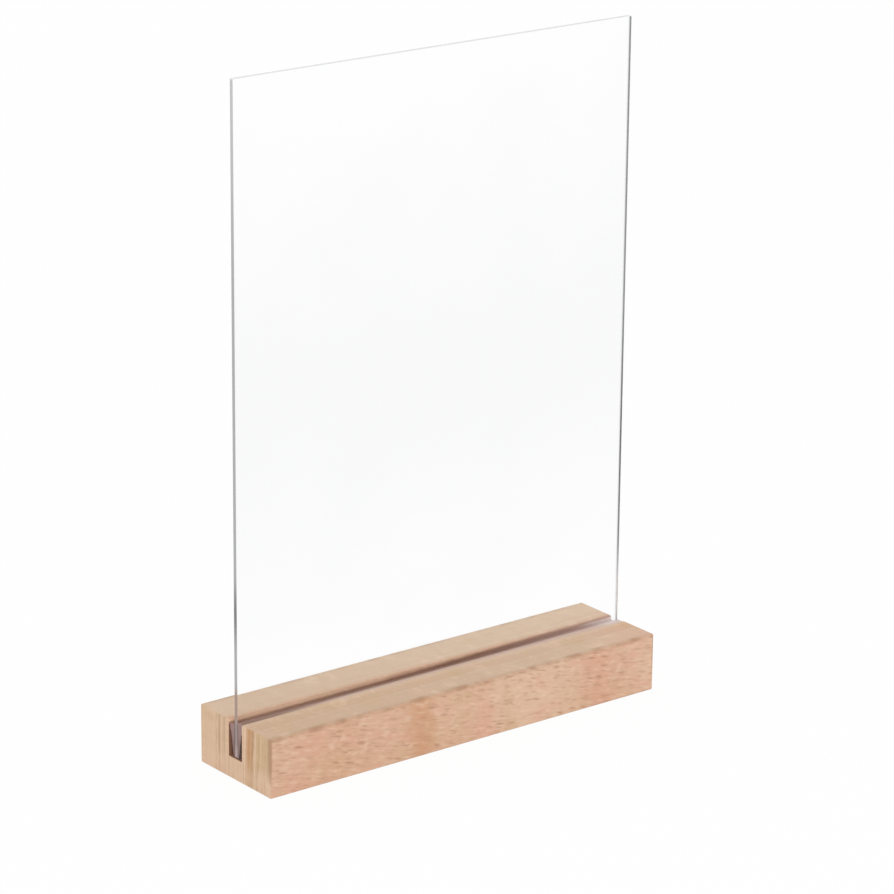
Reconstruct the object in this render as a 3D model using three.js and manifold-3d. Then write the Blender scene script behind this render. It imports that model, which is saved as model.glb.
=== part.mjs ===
// Table sign stand. A clear sheet stands upright in a slot along a solid beech block.
// Two clear wedge strips fill the slot on either side of the sheet and keep it upright.
// Units are millimetres, +Z is up. X runs along the block, and Y from its front to its back.
// The origin is the middle of the block's underside.

import * as THREE from "three";
import { mergeVertices } from "three/addons/utils/BufferGeometryUtils.js";
import Module from "manifold-3d";

const wasm = await Module();
wasm.setup();

// Beech block
const BLOCK_LENGTH = 212.5;
const BLOCK_DEPTH = 52;
const BLOCK_HEIGHT = 27;
const BLOCK_EDGE_RADIUS = 0.7;
const BLOCK_END_RADIUS = 0.6;

// Slot along the block's top, open at both ends
const SLOT_DEPTH = 17;
const SLOT_LIP_RADIUS = 0.7;

// Clear sheet, which stands on the slot's floor
const SHEET_HEIGHT = 297;
const SHEET_THICKNESS = 2;
const SHEET_END_INSET = 0.5;
const SHEET_CORNER_RADIUS = 0.8;
const SHEET_ARRIS = 0.15;

// Wedge strips, one on each side of the sheet: a straight land that bears on the slot's wall,
// a shoulder under it, then a taper to a thin toe. The front strip is taller than the rear one.
const STRIP_THICKNESS = 3.4;
const STRIP_TOE_THICKNESS = 0.6;
const STRIP_LAND_DEPTH = 4.6;
const STRIP_SHOULDER = 0.8;
const FRONT_STRIP_SINK = 0.3;
const REAR_STRIP_SINK = 1.8;
const STRIP_TOP_RADIUS = 0.4;
const STRIP_END_INSET = 0.5;
const STRIP_END_CHAMFER = 0.15;

// Gap left on each side of a wedge strip
const STRIP_CLEARANCE = 0.2;

// Facets of each rounded corner
const ARC_FACETS = 6;

// Sizes that follow from those above
const stripInnerFace = SHEET_THICKNESS / 2 + STRIP_CLEARANCE;
const stripOuterFace = stripInnerFace + STRIP_THICKNESS;
const slotHalfWidth = stripOuterFace + STRIP_CLEARANCE;
const slotFloor = BLOCK_HEIGHT - SLOT_DEPTH;
const landHeight = SLOT_DEPTH - STRIP_LAND_DEPTH;

// Finishes
const beech = new THREE.MeshStandardMaterial({ color: 0xd9b594, roughness: 0.62, metalness: 0 });
const clearSheet = new THREE.MeshStandardMaterial({
  color: 0xf6f9fa,
  roughness: 0.05,
  metalness: 0,
  transparent: true,
  opacity: 0.2,
});
const clearStrip = new THREE.MeshStandardMaterial({
  color: 0xe6e2e3,
  roughness: 0.12,
  metalness: 0,
  transparent: true,
  opacity: 0.35,
});

// Draws a closed outline, counter-clockwise, through corners given as [across, up, radius].
// A corner with no radius stays sharp, and the others are rounded by an arc that meets both sides.
function roundedOutline(corners) {
  const shape = new THREE.Shape();
  const points = corners.map(([across, up]) => new THREE.Vector2(across, up));
  points.forEach((corner, i) => {
    const radius = corners[i][2] ?? 0;
    const back = points.at(i - 1).clone().sub(corner).normalize();
    const ahead = points[(i + 1) % points.length].clone().sub(corner).normalize();
    const halfAngle = Math.acos(back.dot(ahead)) / 2;
    const setback = radius / Math.tan(halfAngle);
    const start = corner.clone().addScaledVector(back, setback);
    const end = corner.clone().addScaledVector(ahead, setback);
    if (i === 0) shape.moveTo(start.x, start.y);
    else shape.lineTo(start.x, start.y);
    if (radius > 0) {
      const middle = back.clone().add(ahead).normalize();
      const centre = corner.clone().addScaledVector(middle, radius / Math.sin(halfAngle));
      const startAngle = start.clone().sub(centre).angle();
      const endAngle = end.clone().sub(centre).angle();
      const turnsInward = back.cross(ahead) > 0;
      shape.absarc(centre.x, centre.y, radius, startAngle, endAngle, turnsInward);
    }
  });
  shape.closePath();
  return shape;
}

// Extrudes an outline to the full length, centred on its plane, with a chamfer round both ends.
function extrusion(outline, length, chamfer = 0) {
  const geometry = new THREE.ExtrudeGeometry(outline, {
    depth: length - 2 * chamfer,
    steps: 1,
    curveSegments: ARC_FACETS / 2,
    bevelEnabled: chamfer > 0,
    bevelThickness: chamfer,
    bevelSize: chamfer,
    bevelOffset: -chamfer,
    bevelSegments: 1,
  });
  return geometry.translate(0, 0, chamfer - length / 2);
}

// Stands an outline drawn as [Y, Z] upright, so that its extrusion runs along X.
function alongX(geometry) {
  return geometry.rotateX(Math.PI / 2).rotateZ(Math.PI / 2);
}

// Stands an outline drawn as [X, Z] upright, so that its extrusion runs along Y.
function alongY(geometry) {
  return geometry.rotateX(Math.PI / 2);
}

// Keeps what a set of closed geometries have in common.
function common(...geometries) {
  const solids = geometries.map((geometry) => {
    geometry.deleteAttribute("normal");
    geometry.deleteAttribute("uv");
    const merged = mergeVertices(geometry);
    return new wasm.Manifold(
      new wasm.Mesh({
        numProp: 3,
        vertProperties: merged.attributes.position.array,
        triVerts: new Uint32Array(merged.index.array),
      }),
    );
  });
  const mesh = solids.reduce((kept, solid) => kept.intersect(solid)).getMesh();
  const geometry = new THREE.BufferGeometry();
  geometry.setAttribute("position", new THREE.BufferAttribute(mesh.vertProperties, 3));
  geometry.setIndex(new THREE.BufferAttribute(mesh.triVerts, 1));
  geometry.computeVertexNormals();
  return geometry;
}

function namedMesh(name, geometry, material) {
  const mesh = new THREE.Mesh(geometry, material);
  mesh.name = name;
  return mesh;
}

// The block is what three rounded prisms share: its slotted end profile, its plan and its front outline.
// So every outer edge is eased, and the slot keeps its walls square and its lips just broken.
function makeBlock() {
  const side = BLOCK_DEPTH / 2;
  const end = BLOCK_LENGTH / 2;
  const endProfile = roundedOutline([
    [-side, 0, BLOCK_EDGE_RADIUS],
    [side, 0, BLOCK_EDGE_RADIUS],
    [side, BLOCK_HEIGHT, BLOCK_EDGE_RADIUS],
    [slotHalfWidth, BLOCK_HEIGHT, SLOT_LIP_RADIUS],
    [slotHalfWidth, slotFloor],
    [-slotHalfWidth, slotFloor],
    [-slotHalfWidth, BLOCK_HEIGHT, SLOT_LIP_RADIUS],
    [-side, BLOCK_HEIGHT, BLOCK_EDGE_RADIUS],
  ]);
  const plan = roundedOutline([
    [-end, -side, BLOCK_END_RADIUS],
    [end, -side, BLOCK_END_RADIUS],
    [end, side, BLOCK_END_RADIUS],
    [-end, side, BLOCK_END_RADIUS],
  ]);
  const frontOutline = roundedOutline([
    [-end, 0, BLOCK_END_RADIUS],
    [end, 0, BLOCK_END_RADIUS],
    [end, BLOCK_HEIGHT, BLOCK_END_RADIUS],
    [-end, BLOCK_HEIGHT, BLOCK_END_RADIUS],
  ]);
  const geometry = common(
    alongX(extrusion(endProfile, BLOCK_LENGTH)),
    extrusion(plan, 2 * BLOCK_HEIGHT),
    alongY(extrusion(frontOutline, BLOCK_DEPTH)),
  );
  return namedMesh("base_block", geometry, beech);
}

// The sheet's face outline, with cut corners just broken and a fine arris round both faces.
function makeSheet() {
  const side = BLOCK_LENGTH / 2 - SHEET_END_INSET;
  const face = roundedOutline([
    [-side, 0, SHEET_CORNER_RADIUS],
    [side, 0, SHEET_CORNER_RADIUS],
    [side, SHEET_HEIGHT, SHEET_CORNER_RADIUS],
    [-side, SHEET_HEIGHT, SHEET_CORNER_RADIUS],
  ]);
  const geometry = alongY(extrusion(face, SHEET_THICKNESS, SHEET_ARRIS));
  const sheet = namedMesh("clear_sheet", geometry, clearSheet);
  sheet.position.z = slotFloor;
  return sheet;
}

// A wedge strip on the sheet's rear side, with its top sunk below the block's.
// Its inner face lies along the sheet, and its land along the slot's wall.
function makeStrip(name, sink) {
  const height = SLOT_DEPTH - sink;
  const profile = roundedOutline([
    [stripInnerFace, 0],
    [stripInnerFace + STRIP_TOE_THICKNESS, 0],
    [stripOuterFace - STRIP_SHOULDER, landHeight - STRIP_SHOULDER],
    [stripOuterFace, landHeight],
    [stripOuterFace, height, STRIP_TOP_RADIUS],
    [stripInnerFace, height, STRIP_TOP_RADIUS],
  ]);
  const length = BLOCK_LENGTH - 2 * STRIP_END_INSET;
  const geometry = alongX(extrusion(profile, length, STRIP_END_CHAMFER));
  const strip = namedMesh(name, geometry, clearStrip);
  strip.position.z = slotFloor;
  return strip;
}

const rearStrip = makeStrip("rear_wedge_strip", REAR_STRIP_SINK);
const frontStrip = makeStrip("front_wedge_strip", FRONT_STRIP_SINK);
frontStrip.rotation.z = Math.PI;

const signStand = new THREE.Group();
signStand.name = "table_sign_stand";
signStand.add(makeBlock(), makeSheet(), frontStrip, rearStrip);

export default signStand;
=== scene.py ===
"""A table sign stand: a clear sheet kept upright in a slotted beech block by two clear wedge strips.

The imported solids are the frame, and each piece here is modelled over the solid that it replaces.
Lengths are metres. X runs along the block, Y from its front to its back, and Z up.
The patterns of the finishes are written in millimetres of the object's own coordinates.
"""

from __future__ import annotations

import logging
import math
from collections.abc import Callable, Iterable
from dataclasses import dataclass
from enum import Enum
from typing import Any

import bmesh
import bpy
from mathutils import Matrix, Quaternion, Vector


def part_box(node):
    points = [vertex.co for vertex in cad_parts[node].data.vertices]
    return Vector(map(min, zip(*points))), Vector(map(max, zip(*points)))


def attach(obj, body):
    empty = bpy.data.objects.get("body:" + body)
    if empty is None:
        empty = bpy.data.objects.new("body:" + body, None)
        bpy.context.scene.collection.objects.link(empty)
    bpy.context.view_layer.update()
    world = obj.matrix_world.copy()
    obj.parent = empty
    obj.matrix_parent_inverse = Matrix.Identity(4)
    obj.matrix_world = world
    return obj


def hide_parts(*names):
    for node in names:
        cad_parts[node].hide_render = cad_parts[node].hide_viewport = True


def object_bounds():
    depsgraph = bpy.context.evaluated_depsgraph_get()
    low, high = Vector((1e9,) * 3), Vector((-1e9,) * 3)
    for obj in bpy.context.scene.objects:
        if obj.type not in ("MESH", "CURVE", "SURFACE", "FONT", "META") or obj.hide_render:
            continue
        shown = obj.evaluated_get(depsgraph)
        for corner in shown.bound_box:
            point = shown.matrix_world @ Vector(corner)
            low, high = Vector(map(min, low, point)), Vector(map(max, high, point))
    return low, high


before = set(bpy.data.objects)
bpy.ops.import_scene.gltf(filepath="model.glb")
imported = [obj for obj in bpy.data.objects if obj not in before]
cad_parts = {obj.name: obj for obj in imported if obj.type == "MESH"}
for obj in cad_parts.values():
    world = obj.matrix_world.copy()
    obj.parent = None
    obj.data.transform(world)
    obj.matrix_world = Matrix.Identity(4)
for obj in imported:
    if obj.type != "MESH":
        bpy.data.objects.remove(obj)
CAD_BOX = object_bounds()

log = logging.getLogger("sign_stand")

Colour = tuple[float, float, float]
Point = tuple[float, float, float]
PlaceRule = Callable[[Vector, Vector], bool]

MM = 0.001
PHOTO_WIDTH_PX = 894
SAME_PLACE = 0.05 * MM
SAME_PLANE = math.radians(0.5)
SMOOTHED_UNDER = math.radians(40.0)
PLASTIC_IOR = 1.49

# The least part of a unit direction along an axis, for one that runs along it and one that faces it
ALONG_AXIS = 0.9
TOWARDS_AXIS = 0.5

# Rays that the camera sees straight, mirrored or through plastic, and rays that gather light
SEEN_RAYS = ("Camera", "Glossy", "Transmission")
LAMP_RAYS = ("Shadow", "Diffuse")

WHITE: Colour = (1.0, 1.0, 1.0)
PALE_WOOD: Colour = (0.840, 0.625, 0.460)
PAINTED_LIGHT_WOOD: Colour = (0.840, 0.680, 0.530)
STRAW_WOOD: Colour = (0.600, 0.410, 0.220)
STREAK_WOOD: Colour = (0.440, 0.265, 0.140)


class Body(Enum):
    """The bodies of the frame that the pieces ride on."""

    BASE = "base"
    SHEET = "sheet"
    FRONT_STRIP = "front_strip"
    REAR_STRIP = "rear_strip"


class Slot(Enum):
    """The record's material slots."""

    BEECH = "beech"
    SHEET = "clear_sheet"
    STRIP = "clear_strip"


class Side(Enum):
    """The side of the sheet that a wedge strip stands on, as the sign of its Y."""

    FRONT = -1
    REAR = 1


@dataclass(frozen=True)
class Fade:
    """A share that is 0 where a value is at its start, and eases to a strength where it is full."""

    start: float
    full: float
    strength: float = 1.0


@dataclass(frozen=True)
class Band:
    """A soft stripe of one tone: its place along an axis, its reach on either side and its strength."""

    place_mm: float
    reach_mm: float
    strength: float
    tone: Colour


@dataclass(frozen=True)
class Pattern:
    """Soft noise: its size along each axis, a shift that sets it apart from others, and its fineness."""

    size_mm: Point
    shift: float = 0.0
    detail: float = 2.0
    rough: float = 0.5


class Socket:
    """A node's output in an expression: each operator on it adds a Math node."""

    def __init__(self, graph: Graph, link: bpy.types.NodeSocket) -> None:
        """Keeps the output and the graph that it belongs to."""
        self.graph = graph
        self.link = link

    def also(self, output: str) -> Socket:
        """Another output of the same node."""
        return Socket(self.graph, self.link.node.outputs[output])

    def __add__(self, other: Value) -> Socket:
        """This value plus the other."""
        return self.graph.math("ADD", self, other)

    __radd__ = __add__

    def __sub__(self, other: Value) -> Socket:
        """This value less the other."""
        return self.graph.math("SUBTRACT", self, other)

    def __rsub__(self, other: float) -> Socket:
        """The other value less this one."""
        return self.graph.math("SUBTRACT", other, self)

    def __mul__(self, other: Value) -> Socket:
        """This value times the other."""
        return self.graph.math("MULTIPLY", self, other)

    __rmul__ = __mul__

    def __abs__(self) -> Socket:
        """This value without its sign."""
        return self.graph.math("ABSOLUTE", self)


Value = Socket | float
Feed = Value | Colour


class Graph:
    """The node tree of a material or of the world, cleared, that a finish fills."""

    def __init__(self, owner: bpy.types.Material | bpy.types.World) -> None:
        """Takes over the owner's node tree and empties it."""
        owner.use_nodes = True
        self.owner = owner
        self.tree = owner.node_tree
        self.tree.nodes.clear()

    def node(
        self,
        kind: str,
        settings: dict[str, Any] | None = None,
        inputs: dict[str | int, Feed] | None = None,
        output: str | int = 0,
    ) -> Socket:
        """Adds one node.

        Args:
            kind: The node's type.
            settings: Its properties, set first.
            inputs: Its sockets by name or number, with the value or the link of each.
            output: The output that is handed back.

        Returns:
            That output, ready for an expression.
        """
        made = self.tree.nodes.new(kind)
        for name, value in (settings or {}).items():
            setattr(made, name, value)
        for key, value in (inputs or {}).items():
            socket = made.inputs[key]
            if isinstance(value, Socket):
                self.tree.links.new(value.link, socket)
            elif socket.type == "RGBA":
                socket.default_value = (*value, 1.0)
            else:
                socket.default_value = value
        return Socket(self, made.outputs[output] if made.outputs else None)

    def math(self, operation: str, *terms: Value) -> Socket:
        """A Math node on these terms."""
        return self.node("ShaderNodeMath", {"operation": operation}, dict(enumerate(terms)))

    def vector(self, operation: str, inputs: dict[str | int, Any]) -> Socket:
        """A Vector Math node on these sockets."""
        return self.node("ShaderNodeVectorMath", {"operation": operation}, inputs)

    def parts(self, vector: Socket) -> Socket:
        """The X of a vector, whose Y and Z are the same node's other outputs."""
        return self.node("ShaderNodeSeparateXYZ", None, {"Vector": vector})

    def mix(self, share: Value, first: Feed, second: Feed) -> Socket:
        """A colour that goes from first to second with share."""
        settings = {"data_type": "RGBA", "clamp_factor": True}
        return self.node("ShaderNodeMix", settings, {0: share, 6: first, 7: second}, 2)

    def layered(self, tone: Feed, layers: Iterable[tuple[Socket, Feed]]) -> Socket:
        """Lays tones over a tone, one after the other, from the share and the tone of each."""
        for share, over in layers:
            tone = self.mix(share, tone, over)
        return tone

    def fade(self, value: Socket, fade: Fade) -> Socket:
        """0 where value is at the fade's start, its strength where it is full, and eased in between."""
        settings = {"interpolation_type": "SMOOTHSTEP", "clamp": True}
        ends = {"From Min": fade.start, "From Max": fade.full, "To Max": fade.strength}
        return self.node("ShaderNodeMapRange", settings, {"Value": value, **ends})

    def banded(self, tone: Feed, value: Socket, bands: Iterable[Band], share: Value = 1.0) -> Socket:
        """Lays soft stripes over a tone.

        Args:
            tone: The tone under them.
            value: The place along the axis that they cross, in millimetres.
            bands: The stripes.
            share: How much of their strength shows.

        Returns:
            The tone with the stripes.
        """
        for band in bands:
            near = self.fade(abs(value - band.place_mm), Fade(band.reach_mm, 0.0))
            tone = self.mix(near * (share * band.strength), tone, band.tone)
        return tone

    def place(self) -> Socket:
        """Object coordinates, in metres."""
        return self.node("ShaderNodeTexCoord", None, None, "Object")

    def in_mm(self, place: Socket) -> Socket:
        """The X of a place in millimetres, whose Y and Z are the same node's other outputs."""
        return self.parts(self.stretched(place, (1.0, 1.0, 1.0)))

    def stretched(self, place: Socket, size_mm: Point, shift: float = 0.0) -> Socket:
        """Object coordinates divided by a pattern's size along each axis, and moved by a shift."""
        scale = tuple(1.0 / (size * MM) for size in size_mm)
        return self.vector("MULTIPLY_ADD", {0: place, 1: scale, 2: (shift, shift, shift)})

    def pattern(self, place: Socket, pattern: Pattern) -> Socket:
        """Soft noise from 0 to 1 in a pattern's size, at Object coordinates."""
        at = self.stretched(place, pattern.size_mm, pattern.shift)
        inputs = {"Vector": at, "Scale": 1.0, "Detail": pattern.detail, "Roughness": pattern.rough}
        return self.node("ShaderNodeTexNoise", {"noise_dimensions": "3D"}, inputs)

    def noise_along(self, value: Socket, detail: float = 1.0) -> Socket:
        """Soft noise from 0 to 1 that changes along one value only."""
        inputs = {"W": value, "Scale": 1.0, "Detail": detail}
        return self.node("ShaderNodeTexNoise", {"noise_dimensions": "1D"}, inputs)

    def bump(self, height: Socket, strength: float, depth_mm: float) -> Socket:
        """A normal that follows a height."""
        inputs = {"Height": height, "Strength": strength, "Distance": depth_mm * MM}
        return self.node("ShaderNodeBump", None, inputs)

    def principled(self, inputs: dict[str | int, Feed]) -> Socket:
        """A Principled shader with these sockets."""
        return self.node("ShaderNodeBsdfPrincipled", None, inputs)

    def on_rays(self, kinds: Iterable[str]) -> Socket:
        """1 on rays of these kinds, and 0 on all others."""
        path = self.node("ShaderNodeLightPath")
        share, *others = [path.also(f"Is {kind} Ray") for kind in kinds]
        for other in others:
            share = self.math("MAXIMUM", share, other)
        return share

    def surface(self, shader: Socket) -> bpy.types.Material:
        """Sends a shader to the material's surface, and hands the material back."""
        self.node("ShaderNodeOutputMaterial", None, {"Surface": shader})
        return self.owner


class WoodPlace:
    """A point of the block as its finish sees it, in millimetres but for place and grain, in metres.

    lean runs from -1 at the left end to 1 at the right, and on_end, on_top and on_side are shares.
    """

    def __init__(self, graph: Graph, finish: BeechFinish) -> None:
        """Reads where the point is and which way it faces.

        Args:
            graph: The material's graph.
            finish: The block's finish, with its sizes.
        """
        self.graph = graph
        self.place = graph.place()
        slope = (0.0, -math.radians(finish.grain_slope_deg), 0.0)
        self.grain = graph.node("ShaderNodeMapping", None, {"Vector": self.place, "Rotation": slope})
        self.along = graph.in_mm(self.place)
        self.across = self.along.also("Y")
        self.up = self.along.also("Z")
        self.lean = self.along * (1.0 / finish.half_length_mm)
        self.under_top = finish.height_mm - self.up
        self.over_slot_floor = self.up - finish.slot_floor_mm
        self.from_end = finish.half_length_mm - abs(self.along)
        self.from_side = finish.half_depth_mm - abs(self.across)
        self.behind_front_lip = self.across + finish.slot_half_mm
        self.behind_rear_lip = self.across - finish.slot_half_mm
        facing = graph.parts(graph.vector("ABSOLUTE", {0: self.place.also("Normal")}))
        self.on_end = graph.fade(facing, finish.face)
        self.on_top = graph.fade(facing.also("Z"), finish.face)
        self.on_side = graph.fade(facing.also("Y"), finish.face)


@dataclass(frozen=True)
class Rays:
    """Scattered dashes along the grain, the cut ends of the wood's rays.

    A share of the places at a spacing holds a dash, and each dash is as strong as chance makes it.
    """

    spacing_mm: Point
    fill: float
    shift: float
    strength: float
    relief: float = 0.0
    bend_mm: Point = (14.0, 30.0, 9.0)
    dash: Fade = Fade(0.50, 0.10)
    doubt: float = 0.04
    weakest: float = 0.35

    def mask(self, wood: WoodPlace) -> Socket:
        """Where the dashes lie.

        Args:
            wood: The point on the block.

        Returns:
            A mask that is 1 in the middle of the strongest dash.
        """
        graph = wood.graph
        cells = graph.stretched(wood.grain, self.spacing_mm, self.shift)
        bend = graph.pattern(wood.grain, Pattern(self.bend_mm, self.shift, detail=1.0))
        bent = graph.vector("ADD", {0: cells, 1: bend.also("Color")})
        settings = {"voronoi_dimensions": "3D", "feature": "F1"}
        distance = graph.node("ShaderNodeTexVoronoi", settings, {"Vector": bent, "Scale": 1.0})
        chance = graph.node("ShaderNodeSeparateColor", None, {"Color": distance.also("Color")})
        bar = 1.0 - self.fill
        kept = graph.fade(chance, Fade(bar, bar + self.doubt))
        strong = self.weakest + (1.0 - self.weakest) * chance.also("Green")
        return graph.fade(distance, self.dash) * kept * strong


@dataclass(frozen=True)
class GrowthRings:
    """Growth rings, upright along the block: stripes on its ends and faint long streaks on its top."""

    tilt: float = 0.03
    wander_mm: float = 2.8
    wander: Pattern = Pattern((80.0, 40.0, 24.0))
    breaks: Pattern = Pattern((60.0, 5.0, 6.0), 13.0, 3.0)
    break_mm: float = 12.0
    wide_per_mm: float = 0.30
    fine_per_mm: float = 0.95
    fine_shift: float = 40.0
    top_share: float = 0.17
    wide_straw: Fade = Fade(0.48, 0.72, 0.35)
    fine_streak: Fade = Fade(0.50, 0.74, 0.75)
    fine_pale: Fade = Fade(0.46, 0.26, 0.42)
    unbroken: Fade = Fade(0.38, 0.62)
    streaked_front: Fade = Fade(19.0, 12.0)
    plain_middle: Fade = Fade(9.0, 0.0, 0.7)
    straw_cheek: Fade = Fade(-13.0, -16.0, 0.62)
    cheek_foot: Fade = Fade(6.0, 14.0)
    weakest: float = 0.30
    upper: Fade = Fade(6.0, 16.0, 0.70)
    stripes: tuple[Band, ...] = (
        Band(12.2, 1.4, 0.60, (0.430, 0.280, 0.165)),
        Band(8.5, 1.3, 0.55, (0.450, 0.310, 0.170)),
        Band(-6.2, 1.2, 0.55, (0.860, 0.590, 0.420)),
        Band(-9.6, 3.4, 0.95, (0.560, 0.295, 0.130)),
        Band(-12.2, 1.2, 0.80, (0.420, 0.210, 0.090)),
        Band(-17.0, 1.0, 0.28, (0.480, 0.290, 0.150)),
        Band(-21.0, 0.9, 0.20, (0.480, 0.300, 0.160)),
    )

    def lay(self, wood: WoodPlace, tone: Socket) -> Socket:
        """Lays the rings over a tone.

        Args:
            wood: The point on the block.
            tone: The tone under them.

        Returns:
            The tone with the rings.
        """
        graph = wood.graph
        wander = graph.pattern(wood.place, self.wander) - 0.5
        breaks = graph.pattern(wood.place, self.breaks)
        ring = wood.across + self.tilt * wood.up + self.wander_mm * wander
        wide = graph.noise_along(ring * self.wide_per_mm, 1.0)
        fine = graph.noise_along(ring * self.fine_per_mm + self.fine_shift, 2.0)
        show = self.top_share * wood.on_top + wood.on_end
        middle = graph.fade(abs(wood.across), self.plain_middle) * wood.on_end
        streaked = graph.fade(breaks, self.unbroken) * graph.fade(wood.across, self.streaked_front)
        cheek = graph.fade(wood.across, self.straw_cheek) * graph.fade(wood.up, self.cheek_foot)
        layers = (
            (cheek * wood.on_end, STRAW_WOOD),
            (graph.fade(wide, self.wide_straw) * show, STRAW_WOOD),
            (graph.fade(fine, self.fine_streak) * streaked * (1.0 - middle) * show, STREAK_WOOD),
            (graph.fade(fine, self.fine_pale) * show, PALE_WOOD),
        )
        strong = self.weakest + graph.fade(wood.up + self.break_mm * (breaks - 0.5), self.upper)
        return graph.banded(graph.layered(tone, layers), ring, self.stripes, strong * show)


@dataclass(frozen=True)
class ShadedEdges:
    """The long top edges and the upright front corners, darkened with painted shade."""

    front_tone: Colour = (0.400, 0.215, 0.120)
    rear_tone: Colour = (0.450, 0.295, 0.190)
    by_end: Fade = Fade(1.3, 0.2)
    by_side: Fade = Fade(3.4, 0.3)
    by_top: Fade = Fade(2.4, 0.2)
    at_front: Fade = Fade(5.0, -5.0)
    corner: Fade = Fade(24.0, 12.0, 0.75)
    patches: Pattern = Pattern((11.0, 13.0, 9.0), 31.0, 3.0)
    patch: Fade = Fade(0.45, 0.64, 0.52)
    least: float = 0.24

    def lay(self, wood: WoodPlace, tone: Socket) -> Socket:
        """Lays the painted edge shade over a tone.

        Args:
            wood: The point on the block.
            tone: The tone under it.

        Returns:
            The tone with the painted edge shade, which is patchy on the long edges.
        """
        graph = wood.graph
        by_side = graph.fade(wood.from_side, self.by_side)
        at_front = graph.fade(wood.across, self.at_front)
        patchy = self.least + graph.fade(graph.pattern(wood.place, self.patches), self.patch)
        long_edge = by_side * graph.fade(wood.under_top, self.by_top) * patchy
        corner = graph.fade(wood.from_end, self.by_end) * graph.fade(wood.under_top, self.corner)
        edge_shade = graph.math("MAXIMUM", long_edge, corner * by_side * at_front)
        return graph.mix(edge_shade, tone, graph.mix(at_front, self.rear_tone, self.front_tone))


@dataclass(frozen=True)
class SlotShade:
    """Painted shade in the sawn slot: dark, with painted daylight at its right end and a painted lit
    rear wall at its left.

    The shade ends a little under the block's top, and higher towards the right end.
    """

    tone: Colour = (0.290, 0.142, 0.090)
    daylight_tone: Colour = (0.480, 0.300, 0.235)
    open_end_tone: Colour = (0.880, 0.740, 0.690)
    rear_wall: Fade = Fade(1.1, 0.1)
    front_wall: Fade = Fade(-0.5, 0.0)
    floor: Fade = Fade(-2.0, -0.5)
    top: Fade = Fade(0.75, 2.1, 0.92)
    rise_mm: float = 1.7
    rise_bend_mm: float = 0.8
    right_part: Fade = Fade(0.0, 0.9)
    right_end: Fade = Fade(0.76, 0.96)
    open_end: Fade = Fade(0.3, 1.2)
    left_part: Fade = Fade(0.15, -0.70)
    lit_wall: Band = Band(0.9, 1.0, 1.0, (0.900, 0.620, 0.430))
    on_wall: Fade = Fade(0.3, 0.0)

    def lay(self, wood: WoodPlace, tone: Socket) -> Socket:
        """Lays the painted lit wall and the painted shade over a tone.

        Args:
            wood: The point on the block.
            tone: The tone under them.

        Returns:
            The tone with both.
        """
        graph = wood.graph
        on_wall = graph.fade(abs(wood.behind_rear_lip), self.on_wall) * wood.on_side
        lit = on_wall * graph.fade(wood.lean, self.left_part)
        open_end = graph.fade(wood.lean, self.right_end) * graph.fade(wood.under_top, self.open_end)
        shade = graph.mix(graph.fade(wood.lean, self.right_part), self.tone, self.daylight_tone)
        shade = graph.mix(open_end, shade, self.open_end_tone)
        inside = graph.fade(wood.behind_rear_lip, self.rear_wall)
        inside = inside * graph.fade(wood.behind_front_lip, self.front_wall)
        inside = inside * graph.fade(wood.over_slot_floor, self.floor) * (1.0 - wood.on_end)
        raised = wood.under_top + wood.lean * (self.rise_mm + self.rise_bend_mm * wood.lean)
        tone = graph.banded(tone, wood.under_top, (self.lit_wall,), lit)
        return graph.mix(inside * graph.fade(raised, self.top), tone, shade)


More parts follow.
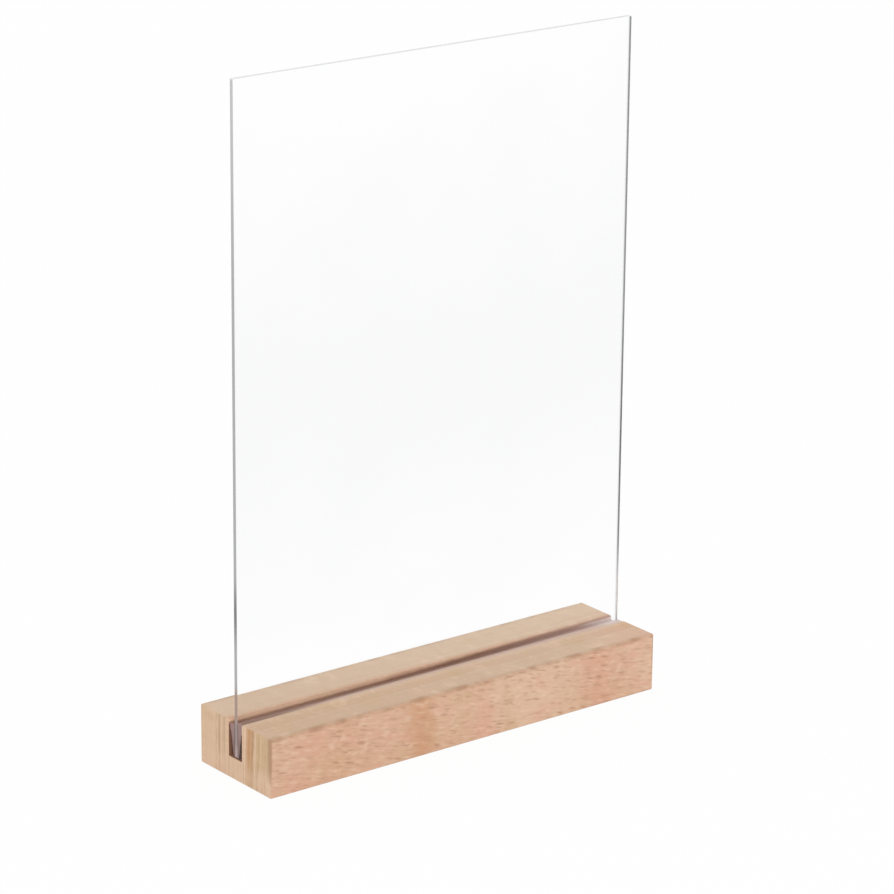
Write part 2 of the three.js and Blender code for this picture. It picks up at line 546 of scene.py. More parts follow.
@dataclass(frozen=True)
class BeechFinish:
    """Bare sanded beech. Its rays are short dashes that hardly show on the top and the ends."""

    half_length_mm: float
    half_depth_mm: float
    height_mm: float
    slot_half_mm: float
    slot_floor_mm: float
    name: str = "beech_sanded"
    face: Fade = Fade(0.55, 0.9)
    side_tone: Colour = (0.705, 0.446, 0.300)
    top_tone: Colour = (0.590, 0.405, 0.270)
    end_tone: Colour = (0.745, 0.510, 0.340)
    pink_tone: Colour = (0.730, 0.405, 0.287)
    lip_shade_tone: Colour = (0.600, 0.350, 0.225)
    ray_tone: Colour = (0.360, 0.150, 0.080)
    fleck_tone: Colour = (0.520, 0.285, 0.175)

    # The figure of the front and back, with painted light on the top and the ends, painted shade along
    # the rear lip and a painted highlight along the front lip
    figure_wander_mm: float = 16.0
    figure: tuple[Band, ...] = (
        Band(-75.0, 34.0, 0.35, (0.680, 0.375, 0.240)),
        Band(-26.0, 12.0, 0.75, (0.630, 0.330, 0.185)),
        Band(37.0, 36.0, 0.65, (0.770, 0.550, 0.395)),
        Band(75.0, 14.0, 0.60, (0.715, 0.375, 0.255)),
        Band(102.0, 16.0, 0.45, (0.770, 0.525, 0.370)),
    )
    rear_light: Fade = Fade(-4.0, 9.0, 0.24)
    right_light: Fade = Fade(-1.0, 1.0, 0.20)
    rear_lip: Fade = Fade(3.4, 0.0, 0.95)
    front_lip: Band = Band(-0.4, 1.1, 0.40, PAINTED_LIGHT_WOOD)
    lit_far_end: Fade = Fade(62.0, 100.0, 0.35)
    front_cheek: Fade = Fade(-5.0, -9.0)
    lit_low_end: Fade = Fade(15.0, 5.0, 0.30)

    # The clouds
    cloud: Pattern = Pattern((17.0, 22.0, 14.0), 3.0, 3.0, 0.6)
    rosy: Fade = Fade(0.50, 0.72)
    rosy_share: float = 0.15
    rosy_side_gain: float = 0.50
    straw: Fade = Fade(0.48, 0.28, 0.45)
    drift: Pattern = Pattern((6.0, 9.0, 3.2), 21.0)
    pale_drift: Fade = Fade(0.52, 0.75, 0.36)

    # The fibre, the mottle and the rays, which follow the grain
    grain_slope_deg: float = 12.8
    fibre: Pattern = Pattern((11.0, 0.55, 0.40), 5.0, 3.0, 0.6)
    dark_fibre: Fade = Fade(0.52, 0.85)
    pale_fibre: Fade = Fade(0.48, 0.15)
    fibre_share: float = 0.28
    fibre_side_loss: float = 0.12
    fibre_relief: float = 0.5
    mottle: Pattern = Pattern((6.6, 14.0, 1.70), 53.0)
    dark_mottle: Fade = Fade(0.53, 0.76, 0.57)
    pale_mottle: Fade = Fade(0.47, 0.24, 0.46)
    bold_rays: Rays = Rays((6.8, 14.0, 1.45), 0.36, 0.0, 0.63, 0.5)
    faint_rays: Rays = Rays((6.2, 10.0, 1.25), 0.50, 19.0, 0.27, 0.3)
    pale_rays: Rays = Rays((6.4, 11.0, 1.40), 0.50, 37.0, 0.30)
    clusters: Pattern = Pattern((21.0, 30.0, 9.0), 71.0)
    clustered: Fade = Fade(0.38, 0.64, 0.90)
    scattered: float = 0.10
    off_side_share: float = 0.14

    roughness: float = 0.60
    fibre_roughness: float = 0.16
    ray_gloss: float = 0.08
    rings: GrowthRings = GrowthRings()
    edges: ShadedEdges = ShadedEdges()
    slot: SlotShade = SlotShade()

    def clouded(self, wood: WoodPlace) -> Socket:
        """The tone of each face, with the figure of the sides, painted light on the top and the ends,
        painted shade and a painted highlight along the slot's lips, and the clouds.

        Args:
            wood: The point on the block.

        Returns:
            The tone.
        """
        graph = wood.graph
        cloud = graph.pattern(wood.place, self.cloud)
        drift = graph.pattern(wood.place, self.drift)
        tone = graph.mix(wood.on_top, self.side_tone, self.top_tone)
        tone = graph.mix(wood.on_end, tone, self.end_tone)
        bent = wood.along + self.figure_wander_mm * (cloud - 0.5)
        tone = graph.banded(tone, bent, self.figure, wood.on_side)
        # Painted light: the top is paler towards its back and towards its right end
        light = graph.fade(wood.across, self.rear_light) + graph.fade(wood.lean, self.right_light)
        tone = graph.mix(light * wood.on_top, tone, PAINTED_LIGHT_WOOD)
        # Painted shade: a warm, darker band along the slot's rear lip and down its rear wall
        rear_lip = graph.fade(wood.behind_rear_lip, self.rear_lip)
        rear_lip = rear_lip * graph.fade(wood.across, Fade(0.0, self.slot_half_mm))
        tone = graph.mix(rear_lip * (1.0 - wood.on_end), tone, self.lip_shade_tone)
        # Painted highlight: a pale line on the top along the slot's front lip
        tone = graph.banded(tone, wood.behind_front_lip, (self.front_lip,), wood.on_top)
        # Painted light: a pinker, paler patch on the top's front cheek towards the right end
        lit_far_end = graph.fade(wood.along, self.lit_far_end) * graph.fade(wood.across, self.front_cheek)
        rosy = self.rosy_share + self.rosy_side_gain * wood.on_side
        layers = (
            (lit_far_end * wood.on_top, self.pink_tone),
            # Painted light: the ends paler towards their foot
            (graph.fade(wood.up, self.lit_low_end) * wood.on_end, PALE_WOOD),
            (graph.fade(cloud, self.rosy) * rosy, self.pink_tone),
            (graph.fade(cloud, self.straw), STRAW_WOOD),
            (graph.fade(drift, self.pale_drift), PALE_WOOD),
        )
        return graph.layered(tone, layers)

    def material(self) -> bpy.types.Material:
        """The finish as a material.

        Returns:
            The material, on Object coordinates.
        """
        graph = Graph(bpy.data.materials.new(self.name))
        wood = WoodPlace(graph, self)
        fibre = graph.pattern(wood.grain, self.fibre)
        mottle = graph.pattern(wood.grain, self.mottle)
        clusters = graph.fade(graph.pattern(wood.grain, self.clusters), self.clustered)
        show = self.off_side_share + (1.0 - self.off_side_share) * wood.on_side
        soft = self.fibre_share - self.fibre_side_loss * wood.on_side
        bold = self.bold_rays.mask(wood) * (self.scattered + clusters)
        faint = self.faint_rays.mask(wood)
        pale = self.pale_rays.mask(wood)
        layers = (
            (graph.fade(fibre, self.dark_fibre) * soft, STREAK_WOOD),
            (graph.fade(fibre, self.pale_fibre) * soft, PALE_WOOD),
            (graph.fade(mottle, self.dark_mottle) * show, self.fleck_tone),
            (graph.fade(mottle, self.pale_mottle) * show, PALE_WOOD),
            (pale * show * self.pale_rays.strength, PALE_WOOD),
            (faint * show * self.faint_rays.strength, self.ray_tone),
            (bold * show * self.bold_rays.strength, self.ray_tone),
        )
        tone = self.rings.lay(wood, self.clouded(wood))
        tone = graph.layered(tone, layers)
        # Painted shade along the edges, and painted shade, painted daylight and a painted lit wall in
        # the slot
        tone = self.slot.lay(wood, self.edges.lay(wood, tone))
        pores = self.bold_rays.relief * bold + self.faint_rays.relief * faint
        relief = self.fibre_relief * fibre - pores * show
        inputs = {
            "Base Color": tone,
            "Roughness": self.roughness + self.fibre_roughness * (fibre - 0.5) - self.ray_gloss * bold,
            "IOR": 1.5,
            "Specular IOR Level": 0.35,
            "Normal": graph.bump(relief, strength=0.25, depth_mm=0.12),
        }
        return graph.surface(graph.principled(inputs))


@dataclass(frozen=True)
class ClearSheetFinish:
    """Clear cast plastic that lets the lamps through, with a faint unevenness of its faces.

    It greys softly over its middle, and at its right edge it darkens with a painted reflection of the
    cut edge.
    """

    half_width_mm: float
    name: str = "sheet_clear"
    tint: Colour = (0.994, 0.995, 0.995)
    ripple: Pattern = Pattern((60.0, 60.0, 60.0))
    haze: Band = Band(165.0, 150.0, 1.0, (0.950, 0.952, 0.953))
    haze_wander_mm: float = 120.0
    rim: Fade = Fade(-0.7, -0.2)
    rim_reflection_tone: Colour = (0.430, 0.432, 0.435)

    def material(self) -> bpy.types.Material:
        """The finish as a material.

        Returns:
            The material. Rays from the lamps pass straight through it.
        """
        graph = Graph(bpy.data.materials.new(self.name))
        place = graph.place()
        along = graph.in_mm(place)
        ripple = graph.pattern(place, self.ripple)
        uneven = along.also("Z") + self.haze_wander_mm * (ripple - 0.5)
        tint = graph.banded(self.tint, uneven, (self.haze,))
        # Painted dark reflection of the cut edge along the sheet's right edge
        rim = graph.fade(along - self.half_width_mm, self.rim)
        inputs = {
            "Base Color": graph.mix(rim, tint, self.rim_reflection_tone),
            "Roughness": 0.0,
            "IOR": PLASTIC_IOR,
            "Transmission Weight": 1.0,
            "Normal": graph.bump(ripple, strength=0.02, depth_mm=0.3),
        }
        clear = graph.principled(inputs)
        passed = graph.node("ShaderNodeBsdfTransparent", None, {"Color": self.tint})
        lamp_ray = graph.on_rays(LAMP_RAYS)
        both = graph.node("ShaderNodeMixShader", None, {0: lamp_ray, 1: clear, 2: passed})
        return graph.surface(both)


@dataclass(frozen=True)
class CutEdgeFinish:
    """The sawn and scraped edges of the clear sheet, with painted reflections of the colours around
    them.

    The upright edges are grey with a painted dark reflection low down. The left one pales to its top and
    turns mauve at the wood, and the right one is pale there, all painted reflections. In the slot they
    carry painted shade. The top edge is pale all along, a painted highlight.
    """

    block_top_mm: float
    sheet_top_mm: float
    name: str = "sheet_cut_edge"
    left_tone: Colour = (0.404, 0.406, 0.409)
    left_dark_reflection: Band = Band(76.0, 19.0, 0.90, (0.130, 0.128, 0.128))
    left_paling: Fade = Fade(-95.0, 0.0)
    left_top_tone: Colour = (0.560, 0.562, 0.565)
    left_foot: Fade = Fade(17.0, 11.0)
    left_foot_reflection_tone: Colour = (0.345, 0.230, 0.190)
    right: Fade = Fade(-20.0, 20.0)
    right_tone: Colour = (0.240, 0.242, 0.245)
    right_dark_reflection: Band = Band(112.0, 72.0, 0.95, (0.055, 0.055, 0.055))
    right_foot: Fade = Fade(40.0, 14.0)
    right_foot_reflection_tone: Colour = (0.850, 0.855, 0.860)
    slot: Fade = Fade(0.0, -2.0)
    slot_shade_tone: Colour = (0.275, 0.205, 0.190)
    toe: Fade = Fade(-9.0, -14.0)
    toe_tone: Colour = (0.420, 0.295, 0.280)
    top: Fade = Fade(-0.9, -0.3)
    top_tone: Colour = (0.730, 0.735, 0.740)
    marks: Pattern = Pattern((1.2, 6.0, 1.2), 0.0, 3.0)
    mark_share: float = 0.12
    mark_tone: Colour = (0.780, 0.780, 0.785)
    roughness: float = 0.34
    mark_roughness: float = 0.2

    def material(self) -> bpy.types.Material:
        """The finish as a material.

        Returns:
            The material, with fine marks along the edge.
        """
        graph = Graph(bpy.data.materials.new(self.name))
        place = graph.place()
        along = graph.in_mm(place)
        up = along.also("Z")
        over_block = up - self.block_top_mm
        from_top = up - self.sheet_top_mm
        marks = graph.pattern(place, self.marks)
        # Painted reflections on the upright edges, painted shade in the slot and a painted highlight on
        # the top edge
        left = graph.banded(self.left_tone, up, (self.left_dark_reflection,))
        left = graph.mix(graph.fade(from_top, self.left_paling), left, self.left_top_tone)
        left = graph.mix(graph.fade(over_block, self.left_foot), left, self.left_foot_reflection_tone)
        right = graph.banded(self.right_tone, up, (self.right_dark_reflection,))
        right = graph.mix(graph.fade(over_block, self.right_foot), right, self.right_foot_reflection_tone)
        in_slot = graph.mix(graph.fade(over_block, self.toe), self.slot_shade_tone, self.toe_tone)
        layers = (
            (graph.fade(along, self.right), right),
            (graph.fade(over_block, self.slot), in_slot),
            (graph.fade(from_top, self.top), self.top_tone),
            (self.mark_share * marks, self.mark_tone),
        )
        inputs = {
            "Base Color": graph.layered(left, layers),
            "Roughness": self.roughness + self.mark_roughness * (marks - 0.5),
            "IOR": PLASTIC_IOR,
            "Normal": graph.bump(marks, strength=0.2, depth_mm=0.05),
        }
        return graph.surface(graph.principled(inputs))


@dataclass(frozen=True)
class StripFinish:
    """Clear drawn plastic strip, in its tint with painted slot shade in brown, and painted lilac
    daylight near the right end.

    The outer rim of a top that lies close under the slot's lip carries a pale painted reflection.
    """

    name: str
    half_length_mm: float
    outer_face_mm: float
    alpha: float
    gloss: float
    rim_share: float
    tint_and_shade_tone: Colour
    daylight_tone: Colour = (0.540, 0.362, 0.322)
    right_part: Fade = Fade(0.2, 0.95)
    left_end: Fade = Fade(-0.46, -0.93)
    left_daylight: float = 0.14
    rim: Fade = Fade(-3.2, -0.6)
    rim_reflection_tone: Colour = (0.840, 0.620, 0.510)
    daylight_rim_reflection_tone: Colour = (0.800, 0.600, 0.500)
    rim_drift_mm: float = 0.5
    left_rim_loss: float = 0.90
    right_end: Fade = Fade(0.82, 1.0)
    open_end_tone: Colour = (0.840, 0.710, 0.670)
    lines: Pattern = Pattern((80.0, 0.5, 0.5))
    line_share: float = 0.15
    line_tone: Colour = (0.520, 0.370, 0.310)
    roughness: float = 0.22
    line_roughness: float = 0.15

    def material(self) -> bpy.types.Material:
        """The finish as a material.

        Returns:
            The material, see-through all over, with fine drawing lines along the strip.
        """
        graph = Graph(bpy.data.materials.new(self.name))
        place = graph.place()
        along = graph.in_mm(place)
        lean = along * (1.0 / self.half_length_mm)
        lines = graph.pattern(place, self.lines)
        # Painted daylight towards both ends and a pale painted reflection on the top's rim, over the
        # tint with painted slot shade
        left_end = graph.fade(lean, self.left_end)
        right_part = graph.fade(lean, self.right_part)
        daylight = graph.math("MAXIMUM", right_part, self.left_daylight * left_end)
        from_rim = abs(along.also("Y")) - self.outer_face_mm + self.rim_drift_mm * lean
        rim = graph.fade(from_rim, self.rim) * (1.0 - self.left_rim_loss * left_end) * self.rim_share
        layers = (
            (daylight, self.daylight_tone),
            (rim, graph.mix(daylight, self.rim_reflection_tone, self.daylight_rim_reflection_tone)),
            (graph.fade(lean, self.right_end), self.open_end_tone),
            (self.line_share * lines, self.line_tone),
        )
        inputs = {
            "Base Color": graph.layered(self.tint_and_shade_tone, layers),
            "Roughness": self.roughness + self.line_roughness * (lines - 0.5),
            "IOR": PLASTIC_IOR,
            "Specular IOR Level": self.gloss,
            "Alpha": self.alpha,
            "Normal": graph.bump(lines, strength=0.1, depth_mm=0.05),
        }
        return graph.surface(graph.principled(inputs))


@dataclass(frozen=True)
class SawnEndFinish:
    """The sawn ends of a strip: frosted mauve, darker towards the toe."""

    name: str
    land_foot_mm: float
    upper_tone: Colour = (0.305, 0.178, 0.160)
    below: Fade = Fade(0.5, -7.0)
    lower_tone: Colour = (0.215, 0.122, 0.104)
    marks: Pattern = Pattern((9.0, 0.7, 1.6), 4.0, 3.0)
    mark: Fade = Fade(0.45, 0.75, 0.22)
    mark_tone: Colour = (0.520, 0.420, 0.410)
    roughness: float = 0.42
    mark_roughness: float = 0.2

    def material(self) -> bpy.types.Material:
        """The finish as a material.

        Returns:
            The material, with fine saw marks.
        """
        graph = Graph(bpy.data.materials.new(self.name))
        place = graph.place()
        marks = graph.pattern(place, self.marks)
        over_foot = graph.in_mm(place).also("Z") - self.land_foot_mm
        tone = graph.mix(graph.fade(over_foot, self.below), self.upper_tone, self.lower_tone)
        inputs = {
            "Base Color": graph.mix(graph.fade(marks, self.mark), tone, self.mark_tone),
            "Roughness": self.roughness + self.mark_roughness * (marks - 0.5),
            "IOR": PLASTIC_IOR,
            "Normal": graph.bump(marks, strength=0.2, depth_mm=0.05),
        }
        return graph.surface(graph.principled(inputs))


@dataclass(frozen=True)
class FloorFinish:
    """A white studio floor that the camera sees as white and that keeps the object's shadow."""

    name: str = "studio_floor"
    tone: Colour = (0.94, 0.94, 0.94)
    white_share: float = 0.95

    def material(self) -> bpy.types.Material:
        """The finish as a material.

        Returns:
            The material, part white light and part lit floor where it is seen, and lit floor otherwise.
        """
        graph = Graph(bpy.data.materials.new(self.name))
        lit = graph.node("ShaderNodeBsdfDiffuse", None, {"Color": self.tone})
        white = graph.node("ShaderNodeEmission", None, {"Color": WHITE, "Strength": 1.0})
        share = graph.on_rays(SEEN_RAYS) * self.white_share
        return graph.surface(graph.node("ShaderNodeMixShader", None, {0: share, 1: lit, 2: white}))


class Workpiece:
    """One mesh on the bench: a cube, shaped in edit mode and then finished with modifiers."""

    def __init__(self, name: str, low: Vector, high: Vector) -> None:
        """Adds the cube at its size and place.

        Args:
            name: The piece's name.
            low: The cube's lowest corner.
            high: Its highest corner.
        """
        bpy.ops.object.select_all(action="DESELECT")
        bpy.ops.mesh.primitive_cube_add(size=1.0, location=(low + high) / 2, scale=high - low)
        self.obj = bpy.context.active_object
        self.obj.name = name
        self.obj.data.name = name
        bpy.ops.object.transform_apply(location=True, rotation=True, scale=True)

    def pick_faces(self, rule: PlaceRule) -> None:
        """Selects faces, in edit mode.

        Args:
            rule: True for the faces to select, from the middle and the normal of each.
        """
        bpy.ops.object.mode_set(mode="EDIT")
        bpy.ops.mesh.select_mode(type="FACE")
        bpy.ops.mesh.select_all(action="DESELECT")
        mesh = bmesh.from_edit_mesh(self.obj.data)
        for face in mesh.faces:
            face.select_set(rule(face.calc_center_median(), face.normal))
        bmesh.update_edit_mesh(self.obj.data)

    def pick_edges(self, rule: PlaceRule) -> None:
        """Selects edges, in edit mode.

        Args:
            rule: True for the edges to select, from the middle and the direction of each.
        """
        bpy.ops.object.mode_set(mode="EDIT")
        bpy.ops.mesh.select_mode(type="EDGE")
        bpy.ops.mesh.select_all(action="DESELECT")
        mesh = bmesh.from_edit_mesh(self.obj.data)
        for edge in mesh.edges:
            first, second = edge.verts[0].co, edge.verts[1].co
            edge.select_set(rule((first + second) / 2, (second - first).normalized()))
        bmesh.update_edit_mesh(self.obj.data)

    def bisect(self, point: Point, normal: Point) -> None:
        """Cuts every face along a plane, and keeps both sides.

        Args:
            point: A point of the plane.
            normal: The plane's normal.
        """
        bpy.ops.object.mode_set(mode="EDIT")
        bpy.ops.mesh.select_all(action="SELECT")
        bpy.ops.mesh.bisect(plane_co=point, plane_no=normal)

    def extrude(self, offset: Point) -> None:
        """Extrudes the selected faces by an offset."""
        bpy.ops.mesh.extrude_region_move(TRANSFORM_OT_translate={"value": offset})

    def slide(self, offset: Point) -> None:
        """Moves what is selected by an offset."""
        bpy.ops.transform.translate(value=offset)

    def flatten(self) -> None:
        """Joins the faces that lie in one plane."""
        bpy.ops.mesh.select_all(action="SELECT")
        bpy.ops.mesh.dissolve_limited(angle_limit=SAME_PLANE)

    def soften(self, rule: PlaceRule, share: float) -> None:
        """Marks the edges that a rule picks to be rounded, by a share of the piece's largest radius."""
        self.pick_edges(rule)
        bpy.ops.transform.edge_bevelweight(value=share)

    def finish(self, radius: float, segments: int) -> bpy.types.Object:
        """Rounds the marked edges and smooths the shading across them.

        Args:
            radius: The radius of an edge that was marked with a share of 1.
            segments: The faces across each rounded edge.

        Returns:
            The finished object.
        """
        bpy.ops.object.mode_set(mode="OBJECT")
        bevel = self.obj.modifiers.new("eased_edges", "BEVEL")
        bevel.limit_method = "WEIGHT"
        bevel.width = radius
        bevel.segments = segments
        bpy.ops.object.modifier_apply(modifier=bevel.name)
        bpy.ops.object.shade_smooth_by_angle(angle=SMOOTHED_UNDER)
        flat = self.obj.modifiers.new("flat_faces", "WEIGHTED_NORMAL")
        flat.keep_sharp = True
        bpy.ops.object.modifier_apply(modifier=flat.name)
        return self.obj


def same(value: float, target: float) -> bool:
    """True if two places along an axis are the same."""
    return abs(value - target) < SAME_PLACE


def runs_along_x(run: Vector) -> bool:
    """True if an edge runs along the block."""
    return abs(run.x) > ALONG_AXIS


def place_piece(obj: bpy.types.Object, body: Body, node: str) -> None:
    """Hands a finished piece to the frame and reports it.

    Args:
        obj: The piece.
        body: The body that it moves with.
        node: The solid that it stands for.
    """
    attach(obj, body.value)
    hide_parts(node)
    log.info("%s: %d faces, rides on %s", obj.name, len(obj.data.polygons), body.value)


@dataclass
class BeechBase:
    """The slotted beech block that the stand rests on."""

    low: Vector
    high: Vector
    slot_floor: float
    slot_half_width: float
    edge_radius: float = 0.7 * MM
    end_share: float = 0.86
    lip_share: float = 1.0
    slot_end_share: float = 0.3
    edge_faces: int = 4

    def is_outer_long(self, at: Vector, run: Vector) -> bool:
        """True for the four long edges of the block's front and back."""
        return runs_along_x(run) and same(abs(at.y), self.high.y)

    def is_lip(self, at: Vector, run: Vector) -> bool:
        """True for the slot's two top edges."""
        return runs_along_x(run) and same(abs(at.y), self.slot_half_width) and same(at.z, self.high.z)

    def is_on_end(self, at: Vector, run: Vector) -> bool:
        """True for every edge of the two ends."""
        return same(abs(at.x), self.high.x) and not runs_along_x(run)

    def is_slot_end(self, at: Vector, run: Vector) -> bool:
        """True for the edges where the slot comes out of the ends."""
        in_slot = abs(at.y) < self.slot_half_width + SAME_PLACE
        return self.is_on_end(at, run) and in_slot and MM < at.z < self.high.z - MM

    def is_end_outline(self, at: Vector, run: Vector) -> bool:
        """True for the outer edges of the two ends."""
        return self.is_on_end(at, run) and not self.is_slot_end(at, run)

    def build(self) -> bpy.types.Object:
        """Models the block: a sole, with a cheek drawn up on each side of the slot.

        Returns:
            The block's object.
        """
        work = Workpiece("beech_base", self.low, Vector((self.high.x, self.high.y, self.slot_floor)))
        for side in Side:
            work.bisect((0.0, side.value * self.slot_half_width, 0.0), (0.0, 1.0, 0.0))
        work.pick_faces(lambda at, facing: facing.z > ALONG_AXIS and abs(at.y) > self.slot_half_width)
        work.extrude((0.0, 0.0, self.high.z - self.slot_floor))
        work.flatten()
        work.soften(self.is_outer_long, 1.0)
        work.soften(self.is_end_outline, self.end_share)
        work.soften(self.is_lip, self.lip_share)
        work.soften(self.is_slot_end, self.slot_end_share)
        return work.finish(self.edge_radius, self.edge_faces)

    def dress(self, obj: bpy.types.Object) -> None:
        """Gives the block its finish and its place in the frame.

        Args:
            obj: The block's object.
        """
        sizes = (self.high.x, self.high.y, self.high.z, self.slot_half_width, self.slot_floor)
        obj.data.materials.append(BeechFinish(*(size / MM for size in sizes)).material())
        place_piece(obj, Body.BASE, "base_block")


@dataclass
class DisplaySheet:
    """The clear upright sheet that takes the sign."""

    low: Vector
    high: Vector
    block_top: float
    corner_radius: float = 0.8 * MM
    arris_share: float = 0.19
    corner_faces: int = 4

    def build(self) -> bpy.types.Object:
        """Models the sheet, with its corners and arrises just broken.

        Returns:
            The sheet's object.
        """
        work = Workpiece("display_sheet", self.low, self.high)
        work.soften(lambda at, run: abs(run.y) > ALONG_AXIS, 1.0)
        work.soften(lambda at, run: abs(run.y) < ALONG_AXIS, self.arris_share)
        return work.finish(self.corner_radius, self.corner_faces)

    def dress(self, obj: bpy.types.Object) -> None:
        """Gives the faces and the cut edges their finishes, and the sheet its place in the frame.

        Args:
            obj: The sheet's object.
        """
        edge = CutEdgeFinish(self.block_top / MM, self.high.z / MM)
        obj.data.materials.append(ClearSheetFinish(self.high.x / MM).material())
        obj.data.materials.append(edge.material())
        for face in obj.data.polygons:
            face.material_index = 0 if abs(face.normal.y) > ALONG_AXIS else 1
        place_piece(obj, Body.SHEET, "clear_sheet")


@dataclass
class WedgeStrip:
    """A clear strip, pushed down between the sheet and the slot's wall.

    Its land bears on the wall. Under the land it has a shoulder and a taper to a thin toe.
    """

    side: Side
    low: Vector
    high: Vector
    land_foot: float
    # rim_share sets the painted pale reflection on the top's rim, and top_tone the top's painted slot
    # shade
    rim_share: float
    top_tone: Colour
    toe_thickness: float = 0.6 * MM
    shoulder: float = 0.8 * MM
    top_radius: float = 0.4 * MM
    end_share: float = 0.35
    edge_faces: int = 3
    # The sides' tint, with painted slot shade
    side_tone: Colour = (0.560, 0.450, 0.410)
    side_alpha: float = 0.18
    side_gloss: float = 0.15
    top_alpha: float = 0.80
    top_gloss: float = 0.04

    def build(self) -> bpy.types.Object:
        """Models the strip: a bar, cut at its land and shoulder, with its outer edges drawn in.

        Returns:
            The strip's object.
        """
        outward = self.side.value
        outer = self.high.y if self.side is Side.REAR else self.low.y
        toe_inset = self.high.y - self.low.y - self.toe_thickness
        shoulder_foot = self.land_foot - self.shoulder
        work = Workpiece(f"{self.side.name.lower()}_wedge", self.low, self.high)
        for height in (self.land_foot, shoulder_foot):
            work.bisect((0.0, 0.0, height), (0.0, 0.0, 1.0))
        for height, inset in ((self.low.z, toe_inset), (shoulder_foot, self.shoulder)):
            work.pick_edges(
                lambda at, run: runs_along_x(run) and same(at.y, outer) and same(at.z, height)
            )
            work.slide((0.0, -outward * inset, 0.0))
        work.flatten()
        work.soften(lambda at, run: runs_along_x(run) and same(at.z, self.high.z), 1.0)
        work.soften(lambda at, run: same(abs(at.x), self.high.x), self.end_share)
        return work.finish(self.top_radius, self.edge_faces)

    def dress(self, obj: bpy.types.Object) -> None:
        """Gives the strip's sides, top and ends their finishes, and the strip its place in the frame.

        Args:
            obj: The strip's object.
        """
        size = (self.high.x / MM, max(self.high.y, -self.low.y) / MM)
        side = StripFinish(
            f"{obj.name}_side", *size, self.side_alpha, self.side_gloss, 0.0, self.side_tone
        )
        top = StripFinish(
            f"{obj.name}_top", *size, self.top_alpha, self.top_gloss, self.rim_share, self.top_tone
        )
        end = SawnEndFinish(f"{obj.name}_end", self.land_foot / MM)
        for finish in (side, top, end):
            obj.data.materials.append(finish.material())
        for face in obj.data.polygons:
            on_top = face.normal.z > TOWARDS_AXIS
            face.material_index = 2 if abs(face.normal.x) > TOWARDS_AXIS else int(on_top)
        body = Body.FRONT_STRIP if self.side is Side.FRONT else Body.REAR_STRIP
        place_piece(obj, body, f"{self.side.name.lower()}_wedge_strip")


@dataclass(frozen=True)
class Softbox:
    """A square studio lamp that points at the middle of the stand."""

    name: str
    place: Point
    power: float
    size: float = 1.8

    def build(self, aim: Vector) -> None:
        """Adds the lamp.

        Args:
            aim: The point that it faces.
        """
        away = Vector(self.place) - aim
        turn = away.to_track_quat("Z", "Y").to_euler()
        bpy.ops.object.light_add(type="AREA", location=self.place, rotation=turn)
        lamp = bpy.context.active_object
        lamp.name = self.name
        lamp.data.size = self.size
        lamp.data.energy = self.power


@dataclass(frozen=True)
class Studio:
    """A white floor, a white surround and soft lamps."""

    floor_half: float = 6.0
    surround: float = 0.66
    lamps: tuple[Softbox, ...] = (
        Softbox("key_softbox", (-1.7, -1.8, 2.0), 27.0),
        Softbox("fill_softbox", (2.2, -1.3, 1.4), 12.0),
        Softbox("back_softbox", (0.5, 2.4, 1.9), 14.0),
    )

    def build(self) -> None:
        """Adds the floor, the surround and the lamps."""
        bpy.ops.object.select_all(action="DESELECT")
        bpy.ops.mesh.primitive_plane_add(size=2.0 * self.floor_half)
        floor = bpy.context.active_object
        floor.name = "studio_floor"
        floor.data.materials.append(FloorFinish().material())
        self.light_surround()
        aim = (CAD_BOX[0] + CAD_BOX[1]) / 2
        for lamp in self.lamps:
            lamp.build(aim)

    def light_surround(self) -> None:
        """Makes the world white where it is seen, and a softer light for everything else."""
        world = bpy.data.worlds.new("studio_surround")
        bpy.context.scene.world = world
        graph = Graph(world)
        seen_ray = graph.on_rays(SEEN_RAYS)
        light = graph.node("ShaderNodeBackground", None, {"Color": WHITE, "Strength": self.surround})
        seen = graph.node("ShaderNodeBackground", None, {"Color": WHITE, "Strength": 1.0})
        both = graph.node("ShaderNodeMixShader", None, {0: seen_ray, 1: light, 2: seen})
        graph.node("ShaderNodeOutputWorld", None, {"Surface": both})


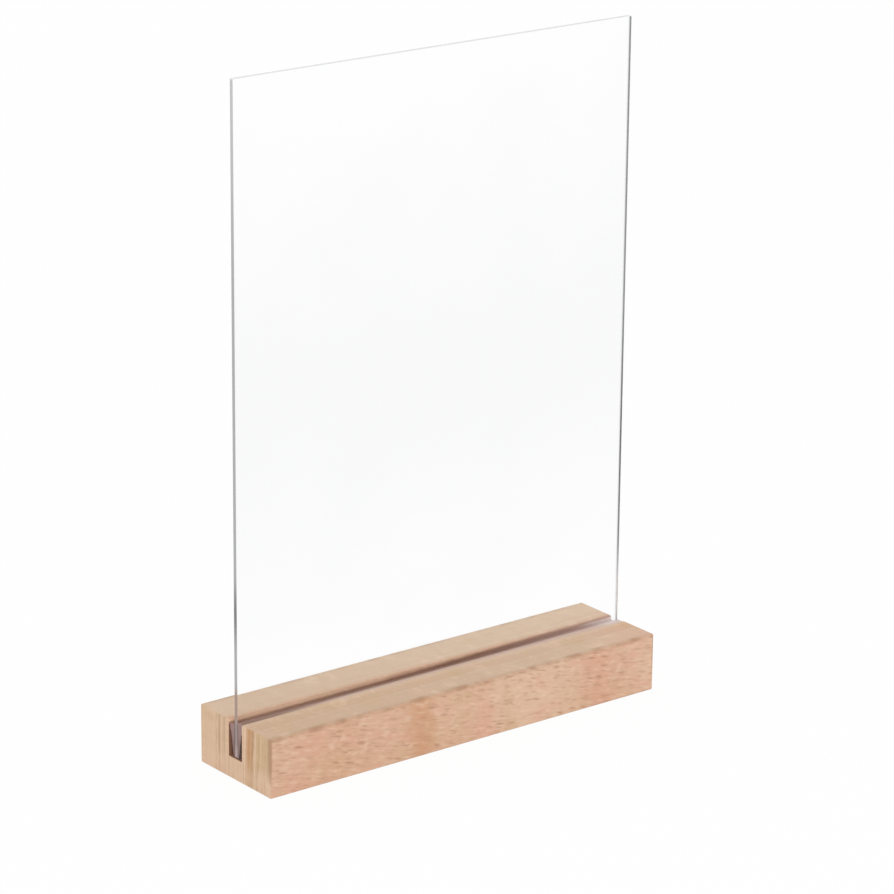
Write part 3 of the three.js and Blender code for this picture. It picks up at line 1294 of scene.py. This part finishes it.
@dataclass(frozen=True)
class PhotoCamera:
    """The photograph's view: from the front left and a little above, through a long lens."""

    azimuth_deg: float = -37.974
    elevation_deg: float = 18.178
    roll_deg: float = 0.552
    aim_height: float = 127.2 * MM
    distance: float = 1736.7 * MM
    shift_right: float = 5.45 * MM
    shift_up: float = 2.33 * MM
    focal_px: float = 4002.8
    sensor: float = 36.0

    def build(self) -> None:
        """Adds the camera and makes it the scene's own."""
        azimuth = math.radians(self.azimuth_deg)
        elevation = math.radians(self.elevation_deg)
        level = math.cos(elevation)
        back = Vector((math.sin(azimuth) * level, -math.cos(azimuth) * level, math.sin(elevation)))
        roll = Quaternion((0.0, 0.0, 1.0), math.radians(self.roll_deg))
        turn = back.to_track_quat("Z", "Y") @ roll
        aim = Vector((0.0, 0.0, self.aim_height))
        place = aim + turn @ Vector((self.shift_right, self.shift_up, self.distance))
        bpy.ops.object.camera_add(location=place, rotation=turn.to_euler())
        camera = bpy.context.active_object
        camera.name = "photo_camera"
        camera.data.sensor_width = self.sensor
        camera.data.lens = self.sensor * self.focal_px / PHOTO_WIDTH_PX
        bpy.context.scene.camera = camera


def main() -> None:
    """Builds the studio and the pieces in order."""
    logging.basicConfig(level=logging.INFO, format="%(name)s: %(message)s")
    bpy.context.scene.view_settings.view_transform = "Standard"
    PhotoCamera().build()
    Studio().build()

    block_low, block_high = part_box("base_block")
    sheet_low, sheet_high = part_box("clear_sheet")
    strip_clearance = 0.2 * MM
    land_depth = 4.6 * MM
    slot_half_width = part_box("rear_wedge_strip")[1].y + strip_clearance
    land_foot = block_high.z - land_depth
    # The strips' tops carry painted slot shade, and the front one a painted pale reflection on its rim
    front_looks = {"rim_share": 0.9, "top_tone": (0.235, 0.125, 0.085)}
    rear_looks = {"rim_share": 0.0, "top_tone": (0.310, 0.165, 0.113)}
    pieces = [
        BeechBase(block_low, block_high, sheet_low.z, slot_half_width),
        DisplaySheet(sheet_low, sheet_high, block_high.z),
        WedgeStrip(Side.FRONT, *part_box("front_wedge_strip"), land_foot, **front_looks),
        WedgeStrip(Side.REAR, *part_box("rear_wedge_strip"), land_foot, **rear_looks),
    ]
    for piece in pieces:
        piece.dress(piece.build())


if __name__ == "__main__":
    main()
